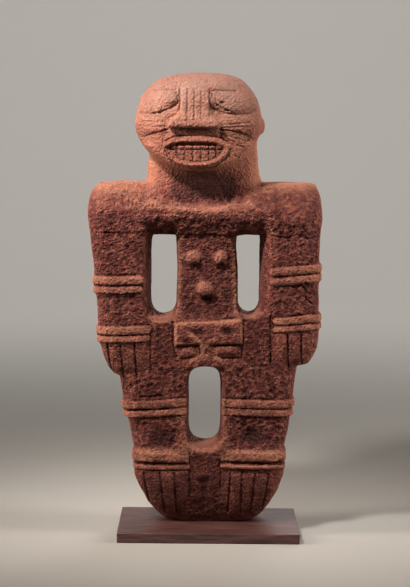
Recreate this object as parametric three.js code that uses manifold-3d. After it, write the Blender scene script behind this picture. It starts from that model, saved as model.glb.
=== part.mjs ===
// A stone statuette of a standing figure, carved in one piece and pierced by three slots, on a thin plinth.
// Millimetres, +Z up. The figure faces -Y. The origin is the middle of the plinth's underside.

import * as THREE from "three";
import { mergeVertices } from "three/addons/utils/BufferGeometryUtils.js";
import Module from "manifold-3d";

const wasm = await Module();
wasm.setup();

// The plinth, and where the stone stands on it
const PLINTH_WIDTH = 180;
const PLINTH_DEPTH = 116;
const PLINTH_HEIGHT = 10;
const PLINTH_EDGE = 0.8;
const REST_GAP = 0.3;
const STONE_BEHIND_MIDDLE = 14;

// Everything below is in the stone's own frame: x from the plinth's middle, y from the slab's mid-plane with
// the front negative, and the height above the sole. A section is [height, left, right, front, back].
const HEAD = [
  [451.0, -22, 5, -13, 14],
  [450.0, -32, 13, -20, 21],
  [448.0, -41, 22, -28, 28],
  [445.0, -51, 29.4, -34.5, 33],
  [440.5, -58.8, 34.4, -39.5, 37.4],
  [434.0, -66, 40.4, -43, 40],
  [424.5, -71.2, 46.2, -46, 41.5],
  [414.0, -75, 49.2, -48, 42],
  [400.0, -77.2, 51, -50.5, 42],
  [393.5, -76, 50, -51.5, 42],
  [390.5, -75, 48.5, -49.5, 42],
  [385.5, -73, 46.5, -50.5, 41.5],
  [378.0, -68.5, 43, -52.4, 41],
  [370.5, -61.5, 38, -52.6, 40],
  [364.0, -54, 31, -51.6, 39],
  [358.5, -44.5, 22, -48.4, 37],
  [355.0, -32, 9, -43, 34],
];
const NECK = [
  [391, -57, 42.5, -20, 33],
  [384, -61, 45.6, -25, 35],
  [362, -63.6, 47.3, -27, 36],
  [348, -64.6, 49, -27.5, 36],
  [340, -67.4, 52.5, -28.5, 37],
  [332, -72, 57, -29, 37],
  [318, -80, 66, -30, 36],
];
const SHOULDERS = [
  [342.6, -101, 97, -7, 16],
  [340.5, -112, 105, -13.5, 23],
  [334, -119.5, 108.6, -21.5, 30],
  [325, -122.3, 110.4, -28.5, 34],
  [315.5, -123.3, 111.2, -35.6, 35.2],
  [307, -123.3, 111.4, -38, 35.5],
  [296, -121.6, 110.2, -36.6, 35],
  [290.5, -120.8, 109.6, -31.5, 32],
];
const LEFT_ARM = [
  [300, -121.4, -54, -35, 33],
  [284, -119.6, -54, -36, 33],
  [266, -117.2, -54, -34.6, 32.5],
  [206, -112, -54, -33.6, 31],
  [200, -111.8, -58.5, -34, 31],
  [182, -110, -58.5, -35, 30],
  [168, -106.2, -58, -34.8, 29],
  [157.5, -102.2, -58.5, -32.8, 28],
  [151, -97.4, -60.5, -29, 25],
  [149, -94, -63, -24.5, 22],
];
const RIGHT_ARM = [
  [300, 45, 110, -35, 33],
  [284, 45, 108.8, -36, 33],
  [266, 45, 108.4, -34.6, 32.5],
  [213, 45, 108.6, -33.6, 31],
  [207, 60.5, 108.8, -34, 31],
  [190, 61.5, 108.8, -35, 30],
  [179, 61.5, 107.4, -35, 29],
  [169, 61.8, 103.4, -33.2, 28],
  [162.5, 63.5, 99, -29.5, 25],
  [160.4, 66.5, 95.5, -24.5, 22],
];
const TORSO = [
  [300, -35, 26, -26, 28],
  [283, -34, 25.5, -27, 29],
  [255, -33.2, 27.5, -28, 29.5],
  [225, -34, 29.5, -28.5, 29.5],
  [205, -36, 33, -28, 29.5],
];
const LOWER_BODY = [
  [224, -68, 66, -22, 26],
  [214, -70, 70, -28.5, 28.5],
  [200, -80, 78, -30.5, 29.5],
  [160, -92, 88, -31, 30],
  [143, -89.6, 86, -30.5, 30],
  [121, -85.6, 83.2, -30, 29.5],
  [96, -79.9, 80.4, -30, 29.5],
  [74, -75.4, 76.2, -31, 30],
  [50, -74.6, 74.8, -31, 30],
  [35, -69, 69.4, -28.6, 28.5],
  [19, -60, 61, -24.6, 25],
  [7, -51.5, 53.6, -20.4, 21.5],
  [1.6, -46, 48.4, -17.4, 18],
  [0, -43, 45.5, -15.5, 15.5],
];
const LEFT_FOOT = [
  [56, -75.6, -21, -31, 30],
  [49, -75.4, -20, -34.4, 30.5],
  [35, -70, -20, -32.4, 30],
  [20, -61.8, -20.5, -28.4, 27.5],
  [9, -53.6, -21.5, -23, 23.5],
  [3, -47.6, -24, -18.4, 19],
];
const RIGHT_FOOT = [
  [56, 13.5, 76, -31, 30],
  [49, 12.5, 75.4, -34.4, 30.5],
  [35, 12.5, 70.6, -32.4, 30],
  [20, 13, 62.8, -28.4, 27.5],
  [9, 14, 55.6, -23, 23.5],
  [3, 16, 50, -18.4, 19],
];

// The slots go right through and are narrowest in mid depth, as pecking from both faces leaves them:
// [left, right, bottom, top] at the faces and in the middle. The shoulders close the upper two from above.
const SLOTS = [
  { face: [-65.5, -33.2, 203, 312], waist: [-59, -34.6, 209.5, 312] },
  { face: [26.6, 58.6, 207.5, 312], waist: [28, 48.8, 211.5, 312] },
  { face: [-23, 13.4, 75, 159.5], waist: [-20.5, 11.2, 80.5, 157] },
];
const SLOT_CORNER = 13;
const SLOT_FACE = 31;
const SLOT_HALFWAY = 21;
const SLOT_WAIST_AT = 4;
const SLOT_REACH = 60;
const SLOT_FLARE = 5;

// Corner radii of the slab-like parts
const LIMB_CORNER = 13;
const TORSO_CORNER = 6;
const TRUNK_CORNER = 16;
const SHOULDER_CORNER = 22;
const BAND_CORNER = 14.5;
const NOSE_CORNER = 4;
const BLOCK_CORNER = 2.4;

// Raised bands: [height of the band's middle at its left end, at its right end, width]
const BAND_PROUD = 2.5;
const BAND_SUNK = -0.9;
const BAND_TOP_SHARE = 0.7;
const LEFT_ARM_BANDS = [
  [244.8, 245.2, 9.2],
  [235.4, 235.6, 8.2],
  [195.4, 195.8, 9.6],
  [186.2, 186.4, 7.6],
];
const RIGHT_ARM_BANDS = [
  [254.4, 259, 9.2],
  [244.4, 249.2, 9],
  [205.6, 209.4, 8],
  [197.4, 200.9, 7.6],
];
const LEFT_LEG_BANDS = [
  [119.4, 123.6, 9.4],
  [110, 114.2, 7.8],
  [67.8, 66.8, 12.4],
  [57.4, 57.4, 4.8],
];
const RIGHT_LEG_BANDS = [
  [122.6, 122.2, 9.4],
  [113.8, 112.8, 7.8],
  [69, 68.4, 12.4],
  [59, 58.4, 5],
];
const LEFT_LEG_SPAN = [-24.5, -20.5];
const RIGHT_LEG_SPAN = [15, 12.6];
const KNEE_BANDS = 2;

// Cut lines between the fingers and between the toes: [x at the top, x at the tip]
const GROOVE_WIDTH = 3.8;
const GROOVE_DEPTH = 2.4;
const LEFT_FINGERS = { top: 181.5, tip: 147, lines: [[-102, -97.5], [-88.6, -86.5], [-75, -73.4]] };
const RIGHT_FINGERS = { top: 193, tip: 159, lines: [[77.4, 77.8], [90.4, 90.6], [104.2, 101.5]] };
const LEFT_TOES = { top: 52, tip: 8, lines: [[-64.8, -57.5], [-49.8, -45.4], [-34.8, -32.4]] };
const RIGHT_TOES = { top: 53, tip: 8, lines: [[23.4, 20.6], [34.6, 33.6], [47.6, 43.6], [63, 54.5]] };

// Knobs on the trunk: [x, height, half width, half height, how far proud]
const KNOBS = [
  [-17.4, 267.6, 8.6, 8.6, 7],
  [10, 266.8, 8.4, 8.4, 7],
  [-4.2, 236.4, 10, 7.8, 8],
];

// The belt panel under the trunk: [left, right, bottom, top, front]
const BELT_LEAN = 0.045;
const BLOCK_BEVEL = 1.8;
const BLOCK_BACK = -10;
const BELT_BLOCKS = [
  [-35, 31.2, 181.6, 205.6, -34],
  [-13, 2, 163, 184, -32.6],
  [-31, -14, 169.8, 177.4, -34],
  [4.5, 29.5, 170.4, 178.6, -34],
  [-23, -9, 158, 168.4, -33],
  [1.5, 15.5, 158, 169, -33],
];

// The face, about a middle line that sits a little left of the head's own
const FACE_MIDDLE = -15.2;
const NOSE = [
  [436, -28, -6, -44, -20],
  [431, -31, -3, -47.5, -20],
  [414, -31, -3, -54.5, -20],
  [408, -34.5, 1, -57.5, -20],
  [404, -41, 6.4, -59.5, -20],
  [399.5, -42.6, 8, -60.4, -20],
  [397, -41.6, 7, -59, -20],
];
const LEFT_EYE = { x: -52.6, z: 421.6, half: 20, tall: 10.4, proud: 3.4, taper: 0.46, lean: 4.6 };
const RIGHT_EYE = { x: 19.6, z: 422.2, half: 21.4, tall: 9.8, proud: 3.4, taper: 0.2, lean: 1.8 };
const EYE_FLATNESS = 0.6;
const EYE_SQUARENESS = 2.8;
const LINE_WIDTH = 3.2;
const LINE_DEPTH = 2;
const LINE_END_SHARE = 0.5;
const EYE_LINES = [
  [[-58, 433.6], [-46, 433.8], [-34, 433.8]],
  [[-31, 428], [-34, 419.4], [-44, 412.6], [-56, 409.6], [-70, 409]],
  [[-3, 433.8], [9, 434], [22, 434]],
  [[-3.2, 426], [-1, 416.8], [8, 412], [22, 410.4], [38, 412.4]],
];
const CHEEK_LINES = [
  [[-67, 387.4], [-61, 389.6], [-52, 392], [-43, 394]],
  [[9, 395], [20, 393.4], [29, 391.4], [37, 388.4], [43, 384.4]],
  [[-71, 402.2], [-64, 402.4], [-55, 402.5], [-46, 402.6]],
  [[-70, 397], [-62, 397.3], [-54, 397.5], [-46, 397.6]],
  [[13, 397.2], [23, 397.8], [34, 398.6]],
];
const MOUTH = { x: -15.4, z: 377, half: 31, above: 8, below: 15.6 };
const THROAT = { x: -15.4, z: 379.8, half: 25.5, above: 3.6, below: 0.4 };
const LIP_RADIUS = 2.1;
const MOUTH_LEVEL = 371;
const MOUTH_DEPTH = 1.8;
const MOUTH_REACH = 14;
const MOUTH_CORNER_TURN = 0.12;
const THROAT_DEPTH = 6;
const TEETH_LINE = { left: -41, right: 10, z: 375.2, width: 1.8, depth: 1.4 };
const TEETH_GAPS = { at: [-40.5, -33.7, -25.9, -18.1, -10.3, -2.5, 4.3], top: 379.4, width: 1.6, depth: 1.2 };
const EAR = { x: 49.4, y: 2, z: 399, half: 4.2, deep: 13, tall: 8.6 };

// A closed three.js geometry becomes a solid that can be joined and cut.
function solid(geometry) {
  geometry.deleteAttribute("normal");
  geometry.deleteAttribute("uv");
  const merged = mergeVertices(geometry);
  return new wasm.Manifold(
    new wasm.Mesh({
      numProp: 3,
      vertProperties: Float32Array.from(merged.getAttribute("position").array),
      triVerts: Uint32Array.from(merged.index.array),
    }),
  );
}

function moveVertices(geometry, place) {
  const position = geometry.getAttribute("position");
  const point = new THREE.Vector3();
  for (let i = 0; i < position.count; i++) {
    point.fromBufferAttribute(position, i);
    position.setXYZ(i, ...place(point.x, point.y, point.z));
  }
  return geometry;
}

// Rims: the point of a section at an angle from the front, for its half width and half depth
function slabRim(corner, sides) {
  const quarter = Math.PI / 2;
  const steps = sides / 4;
  return (angle, halfWidth, halfDepth) => {
    const turn = Math.floor(angle / quarter);
    const along = ((angle / quarter - turn) * steps - 0.5) / (steps - 1);
    const round = Math.min(corner, 0.98 * halfWidth, 0.98 * halfDepth);
    const sideways = Math.sign(Math.sin((turn + 0.5) * quarter));
    const forwards = Math.sign(Math.cos((turn + 0.5) * quarter));
    const bend = (turn + along) * quarter;
    return [
      sideways * (halfWidth - round) + round * Math.sin(bend),
      forwards * (halfDepth - round) + round * Math.cos(bend),
    ];
  };
}

const OVAL_POWER = 0.8;
const power = (value) => Math.sign(value) * Math.abs(value) ** OVAL_POWER;
const ovalRim = (angle, halfWidth, halfDepth) => [
  halfWidth * power(Math.sin(angle)),
  halfDepth * power(Math.cos(angle)),
];

// A column of sections, highest first. Its vertices start on a cylinder and move out to each section's rim.
function column(sections, rim, sides, tilt = () => 0) {
  const rows = sections.length - 1;
  const tube = new THREE.CylinderGeometry(1, 1, rows, sides, rows, false, Math.PI / sides);
  return moveVertices(tube, (x, y, z) => {
    const [height, left, right, front, back] = sections[Math.round(rows / 2 - y)];
    const angle = (Math.atan2(x, z) + 2 * Math.PI) % (2 * Math.PI);
    const onRim = Math.hypot(x, z) > 0.5;
    const [across, forward] = onRim ? rim(angle, (right - left) / 2, (back - front) / 2) : [0, 0];
    const across0 = (left + right) / 2 + across;
    return [across0, (front + back) / 2 - forward, height + tilt(across0)];
  });
}

const slab = (sections, corner, sides, tilt) => solid(column(sections, slabRim(corner, sides), sides, tilt));
const oval = (sections, sides) => solid(column(sections, ovalRim, sides));

// The section of a column at any height, part way between its neighbours
function sectionAt(sections, height) {
  const lower = sections.findIndex((section) => section[0] <= height);
  const [above, below] = [sections[lower - 1], sections[lower]];
  const share = (height - below[0]) / (above[0] - below[0]);
  return below.map((value, i) => THREE.MathUtils.lerp(value, above[i], share));
}

const frontOf = (sections) => (x, z) => sectionAt(sections, z)[3];

// How far forward the face is at a place on it
function faceAt(x, z) {
  const [, left, right, front, back] = sectionAt(HEAD, z);
  const across = Math.min(Math.abs((2 * x - left - right) / (right - left)), 1);
  const inwards = (1 - across ** (2 / OVAL_POWER)) ** (OVAL_POWER / 2);
  return (front + back) / 2 - ((back - front) / 2) * inwards;
}

// A slot's cutter: a round-cornered hole along Y, wide at both faces and narrow at its waist
function slotCutter({ face, waist }) {
  const wider = (edges, by) => [edges[0] - by, edges[1] + by, edges[2] - by, edges[3] + by];
  const blend = (share) => waist.map((value, i) => THREE.MathUtils.lerp(value, face[i], share));
  const levels = [
    [SLOT_REACH, wider(face, SLOT_FLARE)],
    [SLOT_FACE, face],
    [SLOT_HALFWAY, blend(0.5)],
    [SLOT_WAIST_AT, waist],
    [-SLOT_HALFWAY, blend(0.5)],
    [-SLOT_FACE, face],
    [-SLOT_REACH, wider(face, SLOT_FLARE)],
  ];
  const sections = levels.map(([depth, [left, right, bottom, top]]) => [depth, left, right, -top, -bottom]);
  const sides = 16;
  return solid(column(sections, slabRim(SLOT_CORNER, sides), sides).rotateX(-Math.PI / 2));
}

// A band round a limb: the limb's own section grown by a bevelled profile, with its two ends' heights
function bandRound(limb, [leftHeight, rightHeight, width], leftEdge, rightEdge) {
  const [foot, crest] = [0.5, BAND_TOP_SHARE / 2];
  const profile = [[foot, BAND_SUNK], [crest, BAND_PROUD], [-crest, BAND_PROUD], [-foot, BAND_SUNK]];
  const middle = (leftHeight + rightHeight) / 2;
  const at = sectionAt(limb, middle);
  const [left, right] = [leftEdge ?? at[1], rightEdge ?? at[2]];
  const lean = (rightHeight - leftHeight) / (right - left);
  const sections = profile.map(([share, out]) => {
    const [, , , front, back] = sectionAt(limb, middle + share * width);
    return [middle + share * width, left - out, right + out, front - out, back + out];
  });
  return slab(sections, BAND_CORNER, 12, (x) => lean * (x - (left + right) / 2));
}

// A line cut or raised on a surface: a diamond section drawn along [x, height] points, thinner at both ends
function stroke(points, width, depth, surface) {
  const rows = points.length - 1;
  const bar = new THREE.CylinderGeometry(1, 1, rows, 4, rows);
  return solid(
    moveVertices(bar, (x, y, z) => {
      const i = Math.round(rows / 2 - y);
      const before = points[Math.max(i - 1, 0)];
      const after = points[Math.min(i + 1, rows)];
      const along = new THREE.Vector2(after[0] - before[0], after[1] - before[1]).normalize();
      const size = i === 0 || i === rows ? LINE_END_SHARE : 1;
      const across = (x * width * size) / 2;
      const [px, pz] = points[i];
      return [px - along.y * across, surface(px, pz) - z * depth * size, pz + along.x * across];
    }),
  );
}

// A straight run of points between two ends, so that a line follows the surface under it
function run([x0, z0], [x1, z1], parts) {
  return Array.from({ length: parts + 1 }, (_, i) => [
    THREE.MathUtils.lerp(x0, x1, i / parts),
    THREE.MathUtils.lerp(z0, z1, i / parts),
  ]);
}

// A rounded lump on a surface, flatter on top where flatness is under 1
function dome(x0, z0, half, tall, proud, surface, flatness = 1, shape = (x, z) => [x, z]) {
  const ball = new THREE.SphereGeometry(1, 12, 8);
  return solid(
    moveVertices(ball, (x, y, z) => {
      const [dx, dz] = shape(x, y);
      const px = x0 + dx * half;
      const pz = z0 + dz * tall;
      return [px, surface(px, pz) - Math.sign(z) * Math.abs(z) ** flatness * proud, pz];
    }),
  );
}

// An eye: a dome that narrows and lifts towards the nose
function eye({ x, z, half, tall, proud, taper, lean }) {
  const inner = Math.sign(FACE_MIDDLE - x);
  return dome(x, z, half, tall, proud, faceAt, EYE_FLATNESS, (a, b) => {
    const reach = Math.hypot(a, b);
    const corner = (Math.abs(a) ** EYE_SQUARENESS + Math.abs(b) ** EYE_SQUARENESS) ** (1 / EYE_SQUARENESS);
    const widen = corner > 0 ? reach / corner : 1;
    const inwards = Math.max(0, a * widen * inner);
    return [a * widen, b * widen * (1 - taper * inwards) + (lean / tall) * inwards];
  });
}

// An opening's outline: its corners sit high, with a flat arch above and a deeper one below
function archPoint({ x, z, half, above, below }, turn) {
  const rise = Math.sin(turn);
  return [x + half * Math.cos(turn), z + (rise > 0 ? above : below) * rise];
}

// The teeth's curved face, upright from top to bottom
const mouthFloor = (x) => faceAt(x, MOUTH_LEVEL);

// An opening's cutter: a row of upright slices from side to side, whose floor keeps one depth behind the face
function archCutter(arch, depth, slices) {
  const bar = new THREE.CylinderGeometry(1, 1, slices, 4, slices, false, Math.PI / 4);
  return solid(
    moveVertices(bar, (x, y, z) => {
      const turn = THREE.MathUtils.lerp(Math.PI - MOUTH_CORNER_TURN, MOUTH_CORNER_TURN, y / slices + 0.5);
      const [px, top] = archPoint(arch, turn);
      const foot = archPoint(arch, -turn)[1];
      const floor = mouthFloor(px) + depth;
      if (Math.hypot(x, z) < 0.5) return [px, floor - MOUTH_REACH / 2, (top + foot) / 2];
      return [px, z > 0 ? floor : floor - MOUTH_REACH, x > 0 ? top : foot];
    }),
  );
}

// The lips: a rounded roll round the mouth
function lips() {
  const tube = 0.1;
  const ring = new THREE.TorusGeometry(1, tube, 5, 20);
  return solid(
    moveVertices(ring, (x, y, z) => {
      const turn = Math.atan2(y, x);
      const out = ((Math.hypot(x, y) - 1) * LIP_RADIUS) / tube;
      const [px, pz] = archPoint(MOUTH, turn);
      const [qx, qz] = [px + out * Math.cos(turn), pz + out * Math.sin(turn)];
      return [qx, faceAt(px, pz) - (z * LIP_RADIUS) / tube, qz];
    }),
  );
}

// A bevelled block that stands out of the belly
function block([left, right, bottom, top, front]) {
  const levels = [
    [top, BLOCK_BEVEL],
    [top - BLOCK_BEVEL, 0],
    [bottom + BLOCK_BEVEL, 0],
    [bottom, BLOCK_BEVEL],
  ];
  const sections = levels.map(([height, inset]) => [
    height,
    left + inset,
    right - inset,
    front + inset,
    BLOCK_BACK,
  ]);
  return slab(sections, BLOCK_CORNER, 8, (x) => BELT_LEAN * x);
}

// The cut lines of one hand or one foot
function fingerGrooves({ top, tip, lines }, limb) {
  return lines.map(([topX, tipX]) =>
    stroke(run([topX, top], [tipX, tip], 2), GROOVE_WIDTH, GROOVE_DEPTH, (x, z) => limbFront(limb, x, z)),
  );
}

// The front of a round-cornered slab at a place on it
function limbFront(limb, x, z) {
  const [lowest, highest] = [limb[limb.length - 1][0], limb[0][0]];
  const margin = 0.1;
  const [, left, right, front] = sectionAt(limb, THREE.MathUtils.clamp(z, lowest + margin, highest - margin));
  const inset = LIMB_CORNER - Math.min(x - left, right - x);
  return inset <= 0 ? front : front + LIMB_CORNER - Math.sqrt(Math.max(LIMB_CORNER ** 2 - inset ** 2, 0));
}

const join = (solids) => solids.reduce((sum, next) => sum.add(next));

function body() {
  const limbs = [
    slab(LEFT_ARM, LIMB_CORNER, 16),
    slab(RIGHT_ARM, LIMB_CORNER, 16),
    slab(TORSO, TORSO_CORNER, 12),
    slab(LOWER_BODY, TRUNK_CORNER, 20),
    slab(LEFT_FOOT, LIMB_CORNER, 16),
    slab(RIGHT_FOOT, LIMB_CORNER, 16),
  ];
  const armBands = [
    ...LEFT_ARM_BANDS.map((band) => bandRound(LEFT_ARM, band)),
    ...RIGHT_ARM_BANDS.map((band) => bandRound(RIGHT_ARM, band)),
  ];
  const innerEnd = (span, i) => span[i < KNEE_BANDS ? 0 : 1];
  const legBands = [
    ...LEFT_LEG_BANDS.map((band, i) => bandRound(LOWER_BODY, band, undefined, innerEnd(LEFT_LEG_SPAN, i))),
    ...RIGHT_LEG_BANDS.map((band, i) => bandRound(LOWER_BODY, band, innerEnd(RIGHT_LEG_SPAN, i))),
  ];
  const knobs = KNOBS.map(([x, z, half, tall, proud]) => dome(x, z, half, tall, proud, frontOf(TORSO)));
  const raised = join([...limbs, ...armBands, ...legBands, ...knobs, ...BELT_BLOCKS.map(block)]);
  const cuts = join([
    ...SLOTS.map(slotCutter),
    ...fingerGrooves(LEFT_FINGERS, LEFT_ARM),
    ...fingerGrooves(RIGHT_FINGERS, RIGHT_ARM),
    ...fingerGrooves(LEFT_TOES, LEFT_FOOT),
    ...fingerGrooves(RIGHT_TOES, RIGHT_FOOT),
  ]);
  return join([raised.subtract(cuts), slab(SHOULDERS, SHOULDER_CORNER, 24), oval(NECK, 18)]);
}

function head() {
  const ear = solid(
    moveVertices(new THREE.SphereGeometry(1, 12, 8), (x, y, z) => [
      EAR.x + x * EAR.half,
      EAR.y - z * EAR.deep,
      EAR.z + y * EAR.tall,
    ]),
  );
  const nose = slab(NOSE, NOSE_CORNER, 12);
  const skull = join([oval(HEAD, 30), nose, eye(LEFT_EYE), eye(RIGHT_EYE), ear, lips()]);
  const insideLips = {
    ...MOUTH,
    half: MOUTH.half - LIP_RADIUS,
    above: MOUTH.above - LIP_RADIUS,
    below: MOUTH.below - LIP_RADIUS,
  };
  const teethAt = (x) => mouthFloor(x) + MOUTH_DEPTH;
  const teethFoot = (x) => archPoint(insideLips, -Math.acos((x - MOUTH.x) / insideLips.half))[1] + 1;
  const { left, right, z } = TEETH_LINE;
  const { at, top } = TEETH_GAPS;
  const cuts = [
    archCutter(insideLips, MOUTH_DEPTH, 10),
    archCutter(THROAT, THROAT_DEPTH, 6),
    ...EYE_LINES.map((points) => stroke(points, LINE_WIDTH, LINE_DEPTH, faceAt)),
    ...CHEEK_LINES.map((points) => stroke(points, LINE_WIDTH, LINE_DEPTH, faceAt)),
    stroke(run([left, z], [right, z], 5), TEETH_LINE.width, TEETH_LINE.depth, teethAt),
    ...at.map((x) => stroke([[x, top], [x, teethFoot(x)]], TEETH_GAPS.width, TEETH_GAPS.depth, teethAt)),
  ];
  return skull.subtract(join(cuts));
}

function meshOf(shape, name, material) {
  const { vertProperties, triVerts } = shape.getMesh();
  const geometry = new THREE.BufferGeometry();
  geometry.setAttribute("position", new THREE.BufferAttribute(vertProperties, 3));
  geometry.setIndex(new THREE.BufferAttribute(triVerts, 1));
  geometry.computeVertexNormals();
  const mesh = new THREE.Mesh(geometry, material);
  mesh.name = name;
  return mesh;
}

function statuette() {
  const stone = new THREE.MeshStandardMaterial({ color: 0xa4674f, roughness: 0.92, metalness: 0 });
  const mesh = meshOf(body().add(head()), "statuette", stone);
  mesh.position.set(0, STONE_BEHIND_MIDDLE, PLINTH_HEIGHT + REST_GAP);
  return mesh;
}

function plinth() {
  const outline = new THREE.Shape();
  const [halfWidth, halfDepth] = [PLINTH_WIDTH / 2 - PLINTH_EDGE, PLINTH_DEPTH / 2 - PLINTH_EDGE];
  outline.moveTo(-halfWidth, -halfDepth);
  outline.lineTo(halfWidth, -halfDepth);
  outline.lineTo(halfWidth, halfDepth);
  outline.lineTo(-halfWidth, halfDepth);
  const slabOfWood = new THREE.ExtrudeGeometry(outline, {
    depth: PLINTH_HEIGHT - 2 * PLINTH_EDGE,
    bevelSize: PLINTH_EDGE,
    bevelThickness: PLINTH_EDGE,
    bevelSegments: 1,
  }).translate(0, 0, PLINTH_EDGE);
  const brown = new THREE.MeshStandardMaterial({ color: 0x5a3a3a, roughness: 0.45, metalness: 0 });
  return meshOf(solid(slabOfWood), "plinth", brown);
}

const group = new THREE.Group();
group.add(plinth(), statuette());
export default group;
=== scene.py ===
# Looks of a carved stone statuette on a thin display plinth: metres, +Z up, the figure faces -Y.

import math

import bmesh
import bpy
import numpy as np
from mathutils import Matrix, Vector


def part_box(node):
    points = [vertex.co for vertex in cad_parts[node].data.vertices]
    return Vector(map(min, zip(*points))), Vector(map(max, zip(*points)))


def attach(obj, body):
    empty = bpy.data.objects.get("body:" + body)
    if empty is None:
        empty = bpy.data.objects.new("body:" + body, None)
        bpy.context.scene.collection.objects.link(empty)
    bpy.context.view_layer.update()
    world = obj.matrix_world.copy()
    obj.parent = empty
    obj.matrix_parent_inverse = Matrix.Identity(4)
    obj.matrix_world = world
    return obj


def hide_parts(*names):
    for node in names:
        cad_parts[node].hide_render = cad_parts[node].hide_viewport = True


MM = 0.001
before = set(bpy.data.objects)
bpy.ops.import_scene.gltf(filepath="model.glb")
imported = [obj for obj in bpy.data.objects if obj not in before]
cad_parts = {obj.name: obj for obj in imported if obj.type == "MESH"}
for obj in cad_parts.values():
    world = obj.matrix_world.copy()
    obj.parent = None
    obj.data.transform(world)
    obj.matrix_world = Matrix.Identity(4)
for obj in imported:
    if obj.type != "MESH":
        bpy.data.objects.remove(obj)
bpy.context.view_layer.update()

# The stone's own frame, as in its source: millimetres, depth from the slab's mid-plane, height above its sole
SOLE = np.array((0.0, 14.0, 10.3))

# The stone's mesh
VOXEL_MM = 1.3
EDGE_ROUNDS = 3
FACET_ROUNDS = 40
FACET_STEP_MM = (0.22, 0.5)
RELIEF = 1.1
FINE_BOXES = [(-124, 112, 0, 346), (-76, 52, 352, 440)]
FINE_BEFORE = -21
STONE_TRIANGLES = 197000
BOX_MARGIN = 0.05
CARE = 3e-5
CARE_BOXES = [(-84, 52, 352, 440), (-40, 36, 156, 210)]

# Camera at the photograph's place: it looks a little down at the figure and is turned a hair
CAMERA_PLACE = (-0.0052, -1.736, 0.420)
CAMERA_DOWN = 5.87
CAMERA_ROLL = 0.5
CAMERA_LENS = 106.8
CAMERA_SENSOR = 36.0

# Lines cut by hand, in the stone's front view: (width, depth, corners as [x, height])
FACE_LINES = [
    # round the eyes
    (2.0, 1.1, [(-71.6, 411), (-57.5, 409.6), (-48.9, 412.3), (-39.1, 416), (-33, 420.7), (-31.8, 426), (-35.5, 430.6)]),
    (1.6, 0.4, [(-39, 429), (-35.6, 425.6), (-36.4, 421.6), (-41.6, 417.6), (-49, 415.2)]),
    (1.8, 1.0, [(-62, 432.6), (-50, 433.4), (-36, 433)]),
    (2.2, 1.3, [(42, 415.4), (38, 411.4), (22, 409.8), (8, 411.8), (0.2, 416.2), (-2, 422.6), (0.4, 429.6)]),
    (1.7, 0.8, [(6, 431), (3.4, 427.5), (3.6, 421), (8, 416.4), (16, 414)]),
    (2.2, 1.5, [(-2.4, 430), (-1.6, 432.6), (6, 433.4), (23, 432.8)]),
    # across the cheeks
    (1.8, 0.8, [(-72, 402.2), (-60, 402.6), (-45.5, 402.4)]),
    (1.8, 0.7, [(-71, 397.2), (-60, 397.4), (-45.5, 397.5)]),
    (2.2, 1.4, [(-68, 387), (-58, 390.4), (-43.5, 394.4)]),
    (2.0, 1.1, [(9.4, 399.8), (23.5, 400.8), (38, 402.6)]),
    (2.2, 1.2, [(9, 397), (23, 397.6), (38, 398.4)]),
    (2.8, 2.0, [(8, 395.4), (24.5, 392.8), (37, 388.8), (43.5, 384)]),
    (1.6, 0.7, [(14, 389.4), (26, 386.6), (35, 383.4)]),
    # beside the nose's ridge, down it and across it
    (2.0, 1.6, [(-31.6, 434), (-31.6, 410)]),
    (2.0, 1.4, [(-2.6, 434), (-2.4, 408)]),
    (2.0, 1.4, [(-24.2, 434), (-24, 403)]),
    (1.8, 1.2, [(-17.2, 433), (-17, 404)]),
    (1.8, 1.0, [(-10.6, 432), (-10.4, 410)]),
    (1.8, 0.7, [(-13, 413.6), (-5, 414.2), (-1, 413.4)]),
    (1.8, 1.0, [(-42, 406.6), (-36, 408.8), (-31.6, 411)]),
    (1.8, 0.9, [(-36.6, 405.6), (-36.2, 399)]),
    # above and below the lips
    (2.2, 1.4, [(-47.7, 382.4), (-38, 387.4), (-28.2, 389), (-8.7, 389.4), (8.6, 387.4), (17.3, 382)]),
    (2.2, 1.2, [(-48, 379), (-42.6, 368.4), (-33.6, 360), (-15.2, 356.2), (3, 359.4), (14, 367.6), (18.8, 377)]),
    # round the teeth and between them
    (2.2, 1.6, [(-41, 375.2), (-15, 375.4), (10.4, 375.6)]),
    (2.0, 1.2, [(-41, 374), (-35, 367.6), (-27, 364.6), (-15.2, 363.6), (-3, 364.8), (5, 368.4), (10.4, 374)]),
    *[(1.9, 1.5, [(x, 380), (x, foot)]) for x, foot in zip(
        (-40.5, -33.7, -25.9, -18.1, -10.3, -2.5, 4.3), (371, 367.4, 365.2, 364.2, 364.4, 365.6, 368.4))],
]
GOUGES = [
    # on the cheek to the photograph's right
    (1.8, 1.0, [(16, 386), (22, 383.6)]),
    (2.0, 1.2, [(25, 380.4), (31, 378)]),
    (2.0, 1.1, [(30, 373.6), (35, 375.4)]),
    (1.8, 1.0, [(21, 370), (26, 368.4)]),
]
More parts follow.
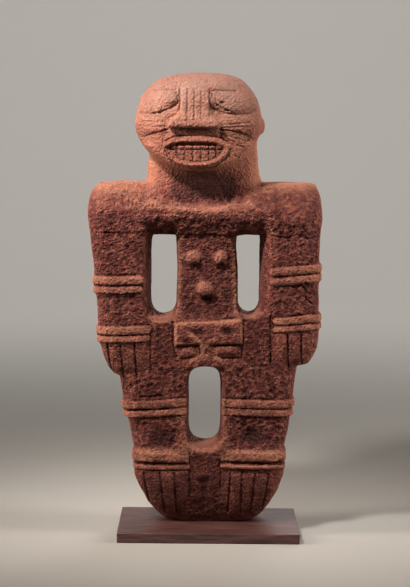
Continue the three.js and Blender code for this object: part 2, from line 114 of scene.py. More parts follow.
BODY_LINES = [
    # creases where arms and trunk leave the shoulders
    (2.0, 1.1, [(-113.5, 293.2), (-96, 292.6), (-79.5, 292), (-66, 290.4)]),
    (2.2, 1.3, [(60, 291.4), (73.6, 288.9), (85, 292.4), (95, 288.4), (110, 290.4)]),
    (1.8, 1.6, [(90.5, 300), (95, 294.5), (100.5, 288.6)]),
    # gouges in the arm on the photograph's right
    (2.2, 2.2, [(92.4, 240.4), (95, 236.6), (98.6, 233)]),
    (2.6, 2.6, [(94.4, 231.4), (97, 227), (100.6, 224)]),
    # the crease over the left knee
    (3.0, 1.1, [(-69, 128.2), (-54, 129.4), (-39, 130.8)]),
    # between the fingers and beside the hands
    *[(2.4, 2.3, [(top, 181), (tip, 148)]) for top, tip in ((-101.8, -96.8), (-88.9, -85.5), (-74.8, -72.6))],
    *[(2.4, 2.2, [(top, 193), (tip, 160)]) for top, tip in ((77.4, 78.8), (91, 91.8))],
    (2.4, 0.9, [(104.4, 192), (101.4, 162)]),
    (2.4, 1.4, [(-59.2, 200), (-58.8, 152)]),
    (2.6, 1.6, [(60.4, 211), (61, 161)]),
    # under the ankle cuffs
    (3.2, 1.9, [(-90, 62.4), (-50, 61.4), (-24, 61.6)]),
    (3.2, 1.9, [(16, 63.6), (50, 62.4), (90, 63.2)]),
    # between the toes and beside the feet
    *[(2.4, 2.0, [(top, 52), (tip, 11)]) for top, tip in ((-65, -58.4), (-49, -43.8), (-34.4, -32))],
    *[(2.4, 1.6, [(top, 52), (tip, 11)]) for top, tip in ((22, 19.8), (33.4, 32.6), (46.8, 42.4), (60.6, 53.6))],
    (2.4, 1.4, [(-19.2, 72), (-19, 28)]),
    (2.4, 1.4, [(11.6, 66), (11.8, 36)]),
    # the belt: over its bar, under it, and between its parts
    (1.8, 1.4, [(-32.8, 204.4), (-9.6, 205.2), (14, 207.2), (26, 208.4)]),
    (3.4, 2.6, [(-32.6, 179.4), (-22, 180.4), (-11.2, 180.4)]),
    (3.0, 2.4, [(4.4, 181.2), (16, 181.4), (30.8, 181.6)]),
    (2.2, 1.6, [(-27.4, 167.6), (-11.4, 169.8)]),
    (2.4, 1.8, [(11.4, 168.6), (30, 168.8)]),
    (2.6, 1.8, [(-37, 203), (-36.8, 184), (-33.4, 168)]),
    (2.6, 1.8, [(33.6, 206), (33.4, 184), (31.6, 169)]),
    (1.8, 1.2, [(-9.6, 178), (-9.8, 170.6)]),
    (1.8, 1.2, [(-3, 178), (-3, 170.6)]),
    # the trunk's upper edge
    (2.0, 1.2, [(-31, 291), (24, 290.6)]),
]

# Bands round the limbs, crowned and rubbed, with a cut line along each edge: (half width, corners)
BANDS = [
    (4.9, [(-126, 245.8), (-95, 245.2), (-80, 246), (-70, 246.4)]),
    (3.8, [(-126, 235.8), (-95, 235.6), (-80, 236.2), (-70, 236.8)]),
    (4.8, [(-122, 195.4), (-90, 195.2), (-62, 196.6)]),
    (3.7, [(-122, 186.6), (-90, 186.6), (-62, 187.8)]),
    (4.9, [(62.6, 255.3), (80, 256.4), (98, 258.2), (118, 258.8)]),
    (4.5, [(62.6, 244.9), (80, 246), (96, 248.4), (118, 250.4)]),
    (4.4, [(66, 205.6), (80, 206.8), (98, 209), (118, 208.8)]),
    (3.6, [(65.4, 197.6), (80, 198.6), (98, 200.2), (118, 200.6)]),
    (4.8, [(-96, 118.6), (-55, 120.8), (-16, 124)]),
    (4.0, [(-94, 109.6), (-55, 111.8), (-16, 114.8)]),
    (4.8, [(6, 122.8), (50, 122.2), (96, 122)]),
    (4.0, [(6, 114), (50, 113.2), (94, 112.6)]),
    (2.9, [(-88, 57.6), (-50, 57.4), (-21, 57.6)]),
    (2.9, [(13.6, 59.4), (50, 58.4), (88, 58.8)]),
]
BAND_CROWN = 2.0
BAND_LINE = (1.5, 1.3)

# Lines left standing: (width, height, corners)
RAISED_LINES = [
    # the lips
    (2.6, 1.0, [(-44.5, 379.8), (-38, 383.8), (-28.2, 386), (-15.3, 386.4), (2.1, 385.2), (12.9, 381.4)]),
    (2.6, 1.3, [(-44, 378.4), (-39.6, 371.2), (-30.5, 364.4), (-15.3, 361.2), (0, 362.8), (9.6, 370), (13.4, 378.4)]),
    # the ridge beside the nose's left edge and the fold under the left eye
    (2.2, 0.8, [(-29.4, 432), (-29.4, 402)]),
    (2.6, 0.9, [(-47, 407.4), (-38, 411.6), (-33.4, 415)]),
    # the knobs' sides run down as short legs
    *[(3, 2.8, [(x, 267.6), (x, 260.4)]) for x in (-22.3, -9.2, 4.4, 15.9)],
    (2.8, 1.8, [(-12.4, 236), (-12, 230)]),
    # the ankle cuffs
    (13, 1.5, [(-90, 69), (-50, 67.8), (-26, 68.2)]),
    (13, 1.5, [(18, 70.2), (50, 68.8), (90, 69.8)]),
    # the fingers and toes are round
    *[(9, 1.1, [(top, 178), (tip, 153)]) for top, tip in ((-107, -101), (-95.2, -91), (-81.8, -79), (-66.6, -66))],
    *[(9, 1.1, [(top, 190), (tip, 165)]) for top, tip in ((68, 68.6), (82.6, 84), (96.8, 95.4), (108, 102))],
    *[(9, 1.1, [(top, 48), (tip, 15)]) for top, tip in ((-71, -62), (-57, -51), (-41.6, -38), (-27, -26.6))],
    *[(8, 1.1, [(top, 48), (tip, 15)]) for top, tip in ((17, 15.8), (27.6, 26), (40, 37.6), (53.6, 48), (66.6, 58))],
    # the edges of the gouges
    (1.8, 0.9, [(92.6, 229.6), (96, 224.6), (102.6, 222)]),
]

# Ridges of the belt, rubbed pale: (width, height, corners)
BELT_RIDGES = [
    # its bar and side edges
    (3.4, 1.2, [(-34.6, 201.8), (-10, 203.2), (14, 204.6), (29, 206.6)]),
    (2.6, 1.5, [(-34.4, 200), (-34, 181)]),
    (2.6, 1.3, [(31, 203), (31.4, 184)]),
    # its forked middle, with two arms above and two legs below
    (3.2, 2.2, [(-21, 193), (-14, 188.4), (-8.4, 183.4), (-7.4, 178), (-7.6, 171)]),
    (3.0, 2.2, [(4.4, 187.6), (-1.4, 184), (-4.6, 179)]),
    (3.6, 2.2, [(-19.4, 164.4), (-15.4, 168.4), (-8, 170.6)]),
    (3.6, 2.2, [(-4, 170.6), (3.6, 170.4), (9.4, 168), (13.4, 163.4)]),
]

# The trunk's two knobs and its dome, on top of the solid's own: (x, height, half width, half height, how proud)
KNOBS = [
    (-15.8, 269.4, 9, 8.2, 2.6),
    (10, 269.2, 8.4, 8.2, 2.6),
    (-5.8, 238.4, 10.2, 8, 2.4),
]

# Broad places set back before the smoothing: (left, right, bottom, top, blur, by how much)
SET_BACK = [
    # the nose's lower half, and the upper lip's middle, which comes forward
    (-46, 11.5, 390, 418, 6, 2.6),
    (-40, 6, 387.6, 394, 2.5, -2.2),
    # the eyes' inner corners come forward
    (-46, -33.5, 406, 416.5, 4, -2.4),
    (-4.5, 0.5, 411, 428, 1.5, -2.0),
]

# The jaw's rim, brought forward: corners, reach and how proud
JAW = [(-61, 378), (-50, 367.5), (-40, 361), (-26, 358), (-11.5, 357), (2, 358), (14, 361.5), (28, 369.5), (37, 380)]
JAW_REACH = 7
JAW_PROUD = 3.6

# Hollows worn or pecked into the front: (x, height, half width, half height, depth)
HOLLOWS = [
    (-15.8, 263, 5.4, 4.6, 4.2),
    (10.6, 262.6, 5.6, 4.6, 4.2),
    (-3, 228.4, 7.6, 4.4, 3.6),
    (-12, 194, 11, 5, 1.8),
    (19, 195.4, 12, 6, 1.8),
    (-22, 185, 8, 5, 1.4),
    (-46.9, 87, 21, 15, 1.9),
    (46.8, 89, 22, 15, 2.1),
    (-3.9, 42.8, 10, 6, 1.8),
    (-4.8, 33, 6, 6, 0.9),
    (-5, 442.2, 2.6, 1.4, 1.4),
    (9.6, 421.2, 3.4, 2.2, 1.8),
    (14.6, 413.6, 5.2, 1.7, 1.4),
    (5.4, 418.4, 2, 1.8, 1.0),
    (71, 64.6, 3, 3.4, 1.6),
    (-17.4, 395.4, 27, 2.6, 1.0),
]

# Places rubbed smooth: (left, right, bottom, top, how much) in the front view
RUBBED = [
    # the trunk's rims and the belt's bar
    (-36, -30, 210, 290, 0.9),
    (23, 31, 210, 290, 0.8),
    (-36, 32, 202.5, 206.5, 0.4),
    # round the slot between the legs
    (-30, -22, 84, 130, 0.5),
    (12, 19.5, 84, 130, 0.5),
    (-27, 18, 72, 86, 0.7),
    # the ankle cuffs
    (-80, -19, 63, 76, 0.8),
    (12, 80, 64, 76, 0.8),
]

# Places with finer peck marks: (left, right, bottom, top, how much finer) in the front view
FINE_PECKS = [
    (-38, 35, 158, 208, 0.6),
    (-116, -60, 146, 184, 0.65),
    (61, 112, 158, 196, 0.65),
    (-84, -20, 2, 56, 0.55),
    (12, 84, 2, 56, 0.55),
]

# Places darkened in colour: (left, right, bottom, top, how much) in the front view
SHADED = [
    # the trunk, darker; painted shade on the neck under the jaw, on the teeth under the lip and between the feet
    (-30, 24, 208, 290, 0.3),
    (-40, 26, 326, 352, 1.0),
    (-42, 12, 363, 385, 0.3),
    (-70, 62, 4, 52, 0.5),
]

# Edges rubbed round: (left, right, bottom, top) in the front view
ROUND_EDGES = [
    (-70, -56, 204, 296),
    (51, 64, 207, 296),
    (-30, -15, 76, 170),
    (6, 22, 76, 170),
    (-26, 17, 68, 92),
    (-122, -46, 298, 338),
    (40, 112, 298, 338),
]


def colour(code):
    """An sRGB hex colour as linear red, green, blue and alpha."""
    shares = [int(code[i : i + 2], 16) / 255 for i in (1, 3, 5)]
    linear = [c / 12.92 if c <= 0.04045 else ((c + 0.055) / 1.055) ** 2.4 for c in shares]
    return (*linear, 1.0)


def add(tree, kind, inputs=None, stops=None, **settings):
    """Adds a node with its settings, its input values or links, and a colour ramp's stops."""
    node = tree.nodes.new(kind)
    for name, value in settings.items():
        setattr(node, name, value)
    for name, value in (inputs or {}).items():
        if isinstance(value, bpy.types.NodeSocket):
            tree.links.new(value, node.inputs[name])
        else:
            node.inputs[name].default_value = value
    for i, (place, shade) in enumerate(stops or ()):
        ramp = node.color_ramp
        stop = ramp.elements[i] if i < 2 else ramp.elements.new(place)
        stop.position = place
        stop.color = shade
    return node


def new_object(name, mesh):
    piece = bpy.data.objects.new(name, mesh)
    bpy.context.scene.collection.objects.link(piece)
    return piece


def with_modifier(piece, kind, **settings):
    """The piece's mesh after one modifier is worked into it."""
    modifier = piece.modifiers.new(kind.lower(), kind)
    for name, value in settings.items():
        setattr(modifier, name, value)
    graph = bpy.context.evaluated_depsgraph_get()
    mesh = bpy.data.meshes.new_from_object(piece.evaluated_get(graph))
    piece.modifiers.clear()
    piece.data = mesh


def array_of(items, field, width, kind=np.float32):
    values = np.empty(len(items) * width, kind)
    items.foreach_get(field, values)
    return values.reshape(-1, width)


def ease(values, low, high):
    """0 below low, 1 above high and a smooth rise between them."""
    share = np.clip((values - low) / (high - low), 0, 1)
    return share * share * (3 - 2 * share)


def smoothed(points, edges, rounds):
    """Each round moves every point half way to the middle of its neighbours."""
    first, second = edges.T
    count = np.bincount(edges.ravel(), minlength=len(points))
    for _ in range(rounds):
        middle = np.empty_like(points)
        for axis in range(points.shape[1]):
            middle[:, axis] = np.bincount(first, points[second, axis], len(points))
            middle[:, axis] += np.bincount(second, points[first, axis], len(points))
        points = 0.5 * (points + middle / count[:, None])
    return points


def lumps(points, size, seed):
    """Soft random values from -1 to 1, with lumps about one size across."""
    cells = 48
    table = np.random.default_rng(seed).uniform(-1, 1, (cells, cells, cells))
    place = points / size
    corner = np.floor(place).astype(int)
    share = place - corner
    share = share * share * (3 - 2 * share)
    total = np.zeros(len(points))
    for step in np.ndindex(2, 2, 2):
        weight = np.prod(np.where(step, share, 1 - share), axis=1)
        total += weight * table[tuple(((corner + step) % cells).T)]
    return total


def peck_marks(points, size, seed):
    """1 in the middle of a peck mark and 0 outside it, with one mark in each cell of a shaken grid."""
    cells = 40
    random = np.random.default_rng(seed)
    shake = random.uniform(0.05, 0.95, (cells, cells, cells, 3))
    reach = random.uniform(0.3, 0.85, (cells, cells, cells))
    place = points / size
    corner = np.floor(place).astype(int)
    deepest = np.zeros(len(points))
    for step in np.ndindex(3, 3, 3):
        cell = corner + step - 1
        key = tuple((cell % cells).T)
        gap = np.linalg.norm(place - cell - shake[key], axis=1) / reach[key]
        deepest = np.maximum(deepest, 1 - gap * gap)
    return deepest


def line_distance(points, corners):
    """The distance in the front view from each point to a line, in millimetres."""
    flat = points[:, (0, 2)]
    nearest = np.full(len(flat), np.inf)
    for start, end in zip(np.array(corners[:-1]), np.array(corners[1:])):
        run = end - start
        share = np.clip((flat - start) @ run / (run @ run), 0, 1)
        nearest = np.minimum(nearest, np.linalg.norm(flat - start - share[:, None] * run, axis=1))
    return nearest


def oval(points, x, height, half, tall):
    """0 in the middle of an oval of the front view, 1 on its edge and more outside it."""
    return np.hypot((points[:, 0] - x) / half, (points[:, 2] - height) / tall)


def cut_depth(points):
    """How deep the hand-cut lines and the hollows go at each point of the front."""
    depth = np.zeros(len(points))
    for width, deep, corners in FACE_LINES + GOUGES + BODY_LINES:
        depth = np.maximum(depth, deep * (1 - ease(line_distance(points, corners), 0, width / 2 + 0.5)))
    for width, proud, corners in RAISED_LINES + BELT_RIDGES:
        depth -= proud * (1 - ease(line_distance(points, corners), 0, width / 2 + 0.5))
    for x, height, half, tall, proud in KNOBS:
        depth -= proud * (1 - ease(oval(points, x, height, half, tall), 0.55, 1))
    for x, height, half, tall, deep in HOLLOWS:
        depth += deep * (1 - ease(oval(points, x, height, half, tall), 0.2, 1))
    reach, deep = BAND_LINE
    for half, corners in BANDS:
        out = line_distance(points, corners)
        depth = np.maximum(depth, deep * (1 - ease(np.abs(out - half), 0, reach)))
        depth -= BAND_CROWN * np.clip(1 - (out / half) ** 2, 0, 1)
    return depth


def on_bands(points):
    """1 on the crest of a band and 0 beside it."""
    share = [1 - ease(line_distance(points, corners), half - 1.6, half) for half, corners in BANDS]
    return np.max(share, axis=0)


def within(points, box, blur):
    """1 inside a [left, right, bottom, top] box of the front view and 0 outside, blurred by some millimetres."""
    left, right, bottom, top = box
    x, height = points[:, 0], points[:, 2]
    gap = np.minimum(np.minimum(x - left, right - x), np.minimum(height - bottom, top - height))
    return ease(gap, -blur, blur)


def places(mesh):
    """The mesh's points in the stone's own frame, in millimetres."""
    return array_of(mesh.vertices, "co", 3).astype(float) / MM - SOLE


def refine(mesh):
    """Twice as fine a mesh on the front, for its narrow lines."""
    points = places(mesh)
    chosen = np.zeros(len(points), bool)
    for box in FINE_BOXES:
        chosen |= (within(points, box, 0.1) > 0.5) & (points[:, 1] < FINE_BEFORE)
    solid = bmesh.new()
    solid.from_mesh(mesh)
    solid.verts.ensure_lookup_table()
    edges = [e for e in solid.edges if chosen[e.verts[0].index] and chosen[e.verts[1].index]]
    bmesh.ops.subdivide_edges(solid, edges=edges, cuts=1, use_grid_fill=True)
    solid.to_mesh(mesh)
    solid.free()


def slanting(points, lean, stretch):
    """The points turned by some degrees in the front view and squeezed, so that a pattern on them runs that way."""
    turn = math.radians(lean)
    along = points[:, 0] * math.cos(turn) + points[:, 2] * math.sin(turn)
    across = points[:, 2] * math.cos(turn) - points[:, 0] * math.sin(turn)
    return np.column_stack((along / stretch, points[:, 1], across))


def tool_marks(points):
    """Peck marks, struck from the middle outwards: they rise to the left on one side and to the right on the other."""
    side = ease(points[:, 0], -25, 15)
    total = np.zeros(len(points))
    for lean, share, shift in ((24, 1 - side, 0), (-24, side, 500)):
        place = slanting(points + shift, lean, 1.2)
        total += share * (0.62 * peck_marks(place, 4.6, 3) + 0.6 * peck_marks(place + 50, 3.3, 5))
        total -= share * 0.3 * lumps(place, 3.6, 11)
    return total * (1 + 0.45 * lumps(points, 13, 31))


def lean_back(points):
    """The chest leans back from the collar's crest down to the trunk, and arches up over the two upper slots."""
    x, depth, height = points.T
    limit = region(height, (290, -28), (296, -30.8), (301, -33.8), (307, -37), (312, -40))
    limit -= 14 * ease(np.abs(x + 4), 56, 72)
    for middle in (-49.5, 42.6):
        limit += 8 * (1 - ease(np.abs(x - middle), 7, 18)) * (1 - ease(height, 291, 304))
    proud = (depth < limit) & (height > 289.4) & (height < 315)
    points[proud, 1] = (limit + 0.12 * (depth - limit))[proud]
    forward = depth < FINE_BEFORE
    for *box, blur, back in SET_BACK:
        points[:, 1] += back * within(points, box, blur) * forward
    points[:, 1] -= JAW_PROUD * (1 - ease(line_distance(points, JAW), 0, JAW_REACH)) * forward


def region(height, *stops):
    """A value that changes with height, from [height, value] stops with the lowest first."""
    return np.interp(height, [stop[0] for stop in stops], [stop[1] for stop in stops])


def carve(mesh):
    """Softens the mesh as hand grinding does, cuts the fine lines, pecks it, and marks worn places, peck pits, painted
    light and painted shade for the material.
    """
    points = places(mesh)
    edges = array_of(mesh.edges, "vertices", 2, np.int32)
    lean_back(points)

    # Facets melt away, and carved edges only lose their sharpness
    crisp = smoothed(points, edges, EDGE_ROUNDS)
    soft = smoothed(crisp, edges, FACET_ROUNDS)
    step = np.linalg.norm(crisp - soft, axis=1)
    keep = ease(smoothed(step[:, None], edges, 4)[:, 0], *FACET_STEP_MM)
    for box in ROUND_EDGES:
        keep *= 1 - 0.9 * within(points, box, 3)
    broad = mesh_normals(mesh, soft)
    points = soft + (crisp - soft) * (RELIEF * keep)[:, None]
    normals = mesh_normals(mesh, points)
    x, height = points[:, 0], points[:, 2]
    body = 1 - ease(height, 345, 360)
    front = ease(-normals[:, 1], 0.15, 0.6)

    # Where the stone stands proud it is worn, and ledges, rims and cuffs are rubbed smooth in patches.
    # Up-facing surfaces, the collar's crest and the neck's sides are made paler too: painted light, besides wear
    bulge = np.einsum("ij,ij->i", points - smoothed(points, edges, 30), normals)
    bulge = smoothed(bulge[:, None], edges, 2)[:, 0]
    round_edge = np.einsum("ij,ij->i", points - smoothed(points, edges, 90), normals)
    round_edge = smoothed(round_edge[:, None], edges, 4)[:, 0]
    # Up-facing surfaces are made paler, less so towards the right: painted light from the overhead lamp on the left
    rubbed_and_lit = np.maximum((0.62 - 0.25 * ease(x, -20, 60)) * body * ease(broad[:, 2], 0.25, 0.9), 0.6 * ease(round_edge, 0.6, 2.2))
    for *box, share in RUBBED:
        rubbed_and_lit = np.maximum(rubbed_and_lit, share * within(points, box, 4) * front)
    rubbed_and_lit = np.maximum(rubbed_and_lit, 0.55 * on_bands(points))
    for width, _, corners in BELT_RIDGES:
        rubbed_and_lit = np.maximum(rubbed_and_lit, 0.65 * (1 - ease(line_distance(points, corners), 1, width / 2 + 1)) * front)
    for x_, z_, half, tall, _ in KNOBS:
        rubbed_and_lit = np.maximum(rubbed_and_lit, 0.55 * (1 - ease(oval(points, x_, z_, half, tall), 0.7, 1.1)) * front)
    crest = 316.5 + 0.0028 * (x + 8) ** 2
    centre = 1 - ease(np.abs(x + 8), 40, 85)
    fold = centre * front * np.exp(-(((height - crest) / 5.5) ** 2))
    # The collar's crest is made paler: worn, and partly painted light where the overhead lamp falls on it
    rubbed_and_lit = np.maximum(rubbed_and_lit, 0.55 * fold)
    # The neck's sides are made paler and smoother: worn, and partly painted light where the side lamps fall
    neck_side = ease(np.abs(x + 8), 40, 54) * ease(height, 330, 345) * (1 - ease(height, 375, 390))
    rubbed_and_lit = np.maximum(rubbed_and_lit, 0.8 * neck_side)
    patchy = 0.14 * lumps(points, 8, 21) + 0.14 * lumps(points, 3.4, 22)
    worn_and_lit = np.maximum(ease(bulge, 0.2, 1.1), np.clip(rubbed_and_lit * (1 + patchy) + patchy * rubbed_and_lit, 0, 1))
    # The chin's underside, which is darkened further down as painted shade
    under_chin = (1 - body) * ease(-broad[:, 2], 0.3, 0.6) * (1 - ease(height, 352, 362))

    # The collar's crest dips towards the middle, over a chest that leans back
    points[:, 1] -= 2.4 * fold

    # Fine lines
    cuts = cut_depth(points) * front
    points[:, 1] += cuts

    # Rough stone is pecked all over, deepest on the neck, trunk and limbs, and plainer on the back and in the slots
    rough = region(height, (0, 0.7), (50, 0.8), (58, 1), (135, 1.05), (180, 0.9), (300, 0.95), (326, 1.05),
                   (342, 0.7), (350, 0.7), (357, 0.55), (362, 0.5), (395, 0.45), (405, 0.3), (451, 0.3))
    cheek = within(points, (14, 44, 366, 402), 11) * front
    rough = np.maximum(rough, 0.75 * cheek)
    # Under the chin the stone counts as rough, so its colour darkens there: painted shade
    rough = np.maximum(rough, under_chin)
    rough *= 1 - (0.35 + 0.35 * body) * worn_and_lit
    neck = ease(height, 326, 334) * (1 - ease(height, 360, 372)) * (1 - ease(np.abs(x + 8), 50, 62))
    pecked = (0.7 + 0.4 * body) * rough * (0.12 + 0.88 * ease(-broad[:, 1], 0.15, 0.6)) * (1 - 0.75 * np.maximum(under_chin, neck))
    for *box, share in FINE_PECKS:
        pecked *= 1 - share * within(points, box, 4) * front
    pecked *= 1 - 0.45 * on_bands(points)
    marks = tool_marks(points)
    swell = 0.5 * lumps(points, 17, 13) + 0.3 * lumps(points, 9, 14)
    move = -1.35 * pecked * marks + swell * (0.35 + 0.65 * body)
    points += broad * move[:, None]

    low, high = ((np.array(corner) / MM - SOLE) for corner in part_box("statuette"))
    points = np.clip(points, low + BOX_MARGIN, high - BOX_MARGIN)
    mesh.vertices.foreach_set("co", ((points + SOLE) * MM).astype(np.float32).ravel())
    marks_and_shade_layer = mesh.attributes.new("stone_marks_and_shade", "FLOAT_COLOR", "POINT")
    # Painted shade: darker in hollows and cut lines, under the chin, in concave corners and in the shaded boxes
    painted_shade = ease(-bulge, 0.4, 2.0) + ease(cuts, 0.3, 1.8) + 0.4 * under_chin
    painted_shade += 0.7 * ease(-round_edge, 0.8, 3) * (1 - neck_side) * (1 - ease(height, 352, 362))
    for *box, share in SHADED:
        painted_shade += share * within(points, box, 5) * front * (1 - worn_and_lit)
    painted_shade = np.clip(painted_shade, 0, 1)
    deep = np.clip(pecked * marks, 0, 1)
    # The dark-stone share: rough stone, darker under the chin as painted shade, paler where worn or painted light
    dark = np.clip(rough * (1 - 0.75 * worn_and_lit) * (1 - 0.45 * cheek), 0, 1)
    layers = np.column_stack((worn_and_lit, painted_shade, deep, dark))
    marks_and_shade_layer.data.foreach_set("color", layers.astype(np.float32).ravel())
    mesh.update()


def mesh_normals(mesh, points):
    """Outward normals of the mesh's corners once they sit at new points."""
    mesh.vertices.foreach_set("co", ((points + SOLE) * MM).astype(np.float32).ravel())
    mesh.update()
    return array_of(mesh.vertex_normals, "vector", 3).astype(float)


def build_stone():
    """The stone: the solid's own mesh, evened out, carved, pecked and thinned again."""
    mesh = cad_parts["statuette"].data.copy()
    mesh.materials.clear()
    solid = bmesh.new()
    solid.from_mesh(mesh)
    bmesh.ops.remove_doubles(solid, verts=solid.verts, dist=0.001 * MM)
    solid.to_mesh(mesh)
    solid.free()
    piece = new_object("carved_stone", mesh)
    with_modifier(piece, "REMESH", mode="VOXEL", voxel_size=VOXEL_MM * MM)
    refine(piece.data)
    carve(piece.data)
    points = places(piece.data)
    careful = np.zeros(len(points), bool)
    for box in CARE_BOXES:
        careful |= (within(points, box, 0.1) > 0.5) & (points[:, 1] < FINE_BEFORE)
    group = piece.vertex_groups.new(name="may_thin")
    group.add(np.flatnonzero(~careful).tolist(), 1.0, "REPLACE")
    group.add(np.flatnonzero(careful).tolist(), 0.5, "REPLACE")
    ratio = STONE_TRIANGLES / (2 * len(piece.data.polygons))
    with_modifier(piece, "DECIMATE", ratio=ratio, vertex_group="may_thin", vertex_group_factor=CARE)
    piece.data.shade_smooth()
    piece.data.materials.append(stone_material())
    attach(piece, "root")
    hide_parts("statuette")
    return piece


def stone_material():
    """Iron-red volcanic stone, pecked with a hammer stone and rubbed with grit. It gives a dry matt surface of brick
    and salmon, paler and smoother where it is worn, with painted shade in the peck marks and hollows and painted
    highlights on the grain tops."""
    material = bpy.data.materials.new("pecked_red_andesite")
    material.use_nodes = True
    tree = material.node_tree
    shader = tree.nodes["Principled BSDF"]
    place = add(tree, "ShaderNodeTexCoord").outputs["Object"]

    def noise(size_mm, detail, roughness=0.5):
        inputs = {"Vector": place, "Scale": 1 / (size_mm * MM), "Detail": detail, "Roughness": roughness}
        return add(tree, "ShaderNodeTexNoise", inputs).outputs["Fac"]

    def between(value, low, high, start=0.0, end=1.0):
        inputs = {"Value": value, "From Min": low, "From Max": high, "To Min": start, "To Max": end}
        return add(tree, "ShaderNodeMapRange", inputs, clamp=True).outputs["Result"]

    def mix(share, first, second, blend="MIX"):
        inputs = {"Factor": share}
        node = add(tree, "ShaderNodeMix", inputs, data_type="RGBA", blend_type=blend)
        for socket, value in ((node.inputs[6], first), (node.inputs[7], second)):
            if isinstance(value, bpy.types.NodeSocket):
                tree.links.new(value, socket)
            else:
                socket.default_value = value
        return node.outputs[2]

    def reckon(operation, first, second):
        node = add(tree, "ShaderNodeMath", {0: first, 1: second}, operation=operation)
        return node.outputs["Value"]

    # From the mesh: painted shade, peck-mark depth, and the dark-stone share, in which painted light and shade mix
    # with pecking
    marks = add(tree, "ShaderNodeAttribute", attribute_name="stone_marks_and_shade")
    layers = add(tree, "ShaderNodeSeparateColor", {"Color": marks.outputs["Color"]})
    painted_shade, deep = (layers.outputs[name] for name in ("Green", "Blue"))
    pecked = marks.outputs["Alpha"]

    # Peck marks and mineral grains, 2 to 3 mm across
    grains = add(tree, "ShaderNodeTexVoronoi", {"Vector": place, "Scale": 1 / (2.6 * MM), "Randomness": 1.0})
    speck = add(tree, "ShaderNodeSeparateColor", {"Color": grains.outputs["Color"]}).outputs["Red"]
    fine = noise(1.7, 2.0, 0.6)
    mottle = noise(8, 4.0, 0.6)
    patches = noise(48, 3.0, 0.55)

    head = between(add(tree, "ShaderNodeSeparateXYZ", {"Vector": place}).outputs["Z"], 0.40, 0.44)
    rubbed_and_lit = mix(head, colour("#B87C62"), colour("#B4988A"))
    rubbed_and_lit = mix(reckon("MULTIPLY", between(patches, 0.35, 0.65), 0.35), rubbed_and_lit, colour("#A0695A"))
    ground = mix(between(pecked, 0.1, 0.8), rubbed_and_lit, colour("#6C322D"))
    ground = mix(reckon("MULTIPLY", between(patches, 0.4, 0.62), 0.35), ground, colour("#7F443A"))
    ground = mix(reckon("MULTIPLY", between(mottle, 0.4, 0.7), 0.25), ground, colour("#945C4C"))
    ground = mix(reckon("MULTIPLY", between(fine, 0.46, 0.28), 0.4), ground, colour("#5A2C27"))
    ground = mix(reckon("MULTIPLY", between(speck, 0.88, 0.98), 0.18), ground, colour("#CFA996"))
    ground = mix(reckon("MULTIPLY", between(speck, 0.14, 0.03), 0.35), ground, colour("#4A231F"))
    # Painted highlight: smooth stone and the tops between peck marks are lighter
    ground = mix(reckon("MULTIPLY", between(deep, 0.22, 0.0), 0.38), ground, colour("#A86852"))
    # Painted shade in the bottoms of the peck marks
    ground = mix(reckon("MULTIPLY", deep, 0.7), ground, colour("#421E1C"))
    # Painted shade in hollows, cut lines, concave corners and under the chin
    ground = mix(reckon("MULTIPLY", painted_shade, 0.7), ground, colour("#3A1B1B"))
    tree.links.new(ground, shader.inputs["Base Color"])

    height = reckon("ADD", between(grains.outputs["Distance"], 0.0, 0.9), reckon("MULTIPLY", fine, 1.1))
    strength = between(pecked, 0.0, 1.0, 0.55, 1.0)
    bump = add(tree, "ShaderNodeBump", {"Height": height, "Strength": strength, "Distance": 2.0 * MM})
    tree.links.new(bump.outputs["Normal"], shader.inputs["Normal"])
    shader.inputs["Roughness"].default_value = 0.9
    shader.inputs["IOR"].default_value = 1.5
    shader.inputs["Specular IOR Level"].default_value = 0.3
    return material


def build_plinth():
    """The display board: a thin flat block with its edges just eased."""
    low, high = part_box("plinth")
    edge = 0.9 * MM
    block = bmesh.new()
    bmesh.ops.create_cube(block, size=1)
    bmesh.ops.scale(block, vec=high - low, verts=block.verts)
    bmesh.ops.translate(block, vec=(low + high) / 2, verts=block.verts)
    bmesh.ops.bevel(block, geom=block.edges[:], offset=edge, affect="EDGES", segments=3, profile=0.5, material=-1)
    mesh = bpy.data.meshes.new("display_board")
    block.to_mesh(mesh)
    block.free()
    mesh.materials.append(board_material())
    piece = new_object("display_board", mesh)
    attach(piece, "root")
    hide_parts("plinth")
    return piece


def board_material():
    """Hardwood board, stained dark brown and varnished satin: fine streaks along its length and a soft sheen."""
    material = bpy.data.materials.new("stained_satin_board")
    material.use_nodes = True
    tree = material.node_tree
    shader = tree.nodes["Principled BSDF"]
    place = add(tree, "ShaderNodeTexCoord").outputs["Object"]
    along = add(tree, "ShaderNodeMapping", {"Vector": place, "Scale": (0.12, 1.0, 1.0)}).outputs["Vector"]
    inputs = {"Vector": along, "Scale": 1 / (3.0 * MM), "Detail": 4.0, "Roughness": 0.6}
    streaks = add(tree, "ShaderNodeTexNoise", inputs).outputs["Fac"]
    stops = [(0.32, colour("#3A2220")), (0.7, colour("#714B46"))]
    stain = add(tree, "ShaderNodeValToRGB", {"Fac": streaks}, stops)
    tree.links.new(stain.outputs["Color"], shader.inputs["Base Color"])
    bump = add(tree, "ShaderNodeBump", {"Height": streaks, "Strength": 0.15, "Distance": 0.2 * MM})
    tree.links.new(bump.outputs["Normal"], shader.inputs["Normal"])
    shader.inputs["Roughness"].default_value = 0.42
    return material


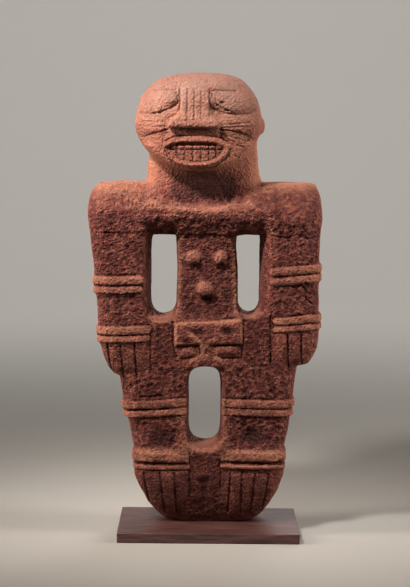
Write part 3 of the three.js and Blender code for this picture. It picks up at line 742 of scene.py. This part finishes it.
def build_stage():
    """A plain pale floor that sweeps up all round into its own backdrop."""
    floor, sweep, top = 2.2, 1.0, 3.2
    bowl = bmesh.new()
    corners = [bowl.verts.new(place) for place in ((0, 0, 0), (floor + sweep, 0, 0), (floor + sweep, 0, top))]
    profile = [bowl.edges.new(pair) for pair in zip(corners, corners[1:])]
    bmesh.ops.bevel(bowl, geom=[corners[1]], offset=sweep, affect="VERTICES", segments=16, profile=0.5, material=-1)
    profile = bowl.verts[:] + bowl.edges[:]
    bmesh.ops.spin(bowl, geom=profile, axis=(0, 0, 1), cent=(0, 0, 0), steps=96, angle=2 * math.pi, use_merge=True)
    bmesh.ops.remove_doubles(bowl, verts=bowl.verts, dist=MM)
    bmesh.ops.recalc_face_normals(bowl, faces=bowl.faces)
    mesh = bpy.data.meshes.new("studio_floor")
    bowl.to_mesh(mesh)
    bowl.free()
    mesh.shade_smooth()
    mesh.materials.append(paper_material())
    new_object("studio_floor", mesh)


def paper_material():
    """Matt studio paper, pale warm grey."""
    material = bpy.data.materials.new("matt_studio_paper")
    material.use_nodes = True
    shader = material.node_tree.nodes["Principled BSDF"]
    shader.inputs["Base Color"].default_value = colour("#BDB9B3")
    shader.inputs["Roughness"].default_value = 0.95
    shader.inputs["Specular IOR Level"].default_value = 0.1
    return material


def soft_light(name, place, aim, size, power, tint="#FFFFFF", spread=180):
    light = bpy.data.lights.new(name, "AREA")
    light.shape = "RECTANGLE"
    light.size, light.size_y = size
    light.energy = power
    light.spread = math.radians(spread)
    light.color = colour(tint)[:3]
    lamp = new_object(name, light)
    lamp.visible_camera = False
    lamp.matrix_world = Matrix.Translation(place) @ (
        (Vector(aim) - Vector(place)).to_track_quat("-Z", "Y").to_matrix().to_4x4()
    )


def build_lights():
    """Soft boxes: one overhead, one at each side for the rims, and weak ones that light the backdrop alone."""
    soft_light("overhead", (-0.29, -0.35, 0.80), (0, 0, 0.32), (0.1, 0.08), 1.15, "#FFF8F0", 76)
    soft_light("left_side", (-0.85, -0.1, 0.5), (0, 0, 0.25), (0.2, 0.5), 1.1, "#FFF1E4", 60)
    soft_light("right_side", (0.85, -0.08, 0.5), (0, 0, 0.25), (0.2, 0.5), 0.9, "#FFF6EE", 60)
    soft_light("rear_fill", (0.25, 0.8, 0.75), (0, 0, 0.25), (0.4, 0.4), 0.4, spread=60)
    for i in range(8):
        turn = 2 * math.pi * i / 8
        across, along = math.sin(turn), math.cos(turn)
        place = (1.5 * across, 1.5 * along, 1.9)
        power = 2.5 + 19 * max(along, 0)
        soft_light(f"backdrop_{i}", place, (3.2 * across, 3.2 * along, 0.6), (0.6, 0.6), power)
    world = bpy.data.worlds.new("studio_air")
    world.use_nodes = True
    world.node_tree.nodes["Background"].inputs["Color"].default_value = colour("#E8E6E2")
    world.node_tree.nodes["Background"].inputs["Strength"].default_value = 0.01
    bpy.context.scene.world = world
    bpy.context.scene.view_settings.view_transform = "Standard"


def build_camera():
    camera = bpy.data.cameras.new("camera")
    camera.lens = CAMERA_LENS
    camera.sensor_width = CAMERA_SENSOR
    eye = new_object("camera", camera)
    tilt = Matrix.Rotation(math.radians(90 - CAMERA_DOWN), 4, "X")
    roll = Matrix.Rotation(math.radians(CAMERA_ROLL), 4, "Z")
    eye.matrix_world = Matrix.Translation(CAMERA_PLACE) @ tilt @ roll
    bpy.context.scene.camera = eye


build_stone()
build_plinth()
build_stage()
build_lights()
build_camera()
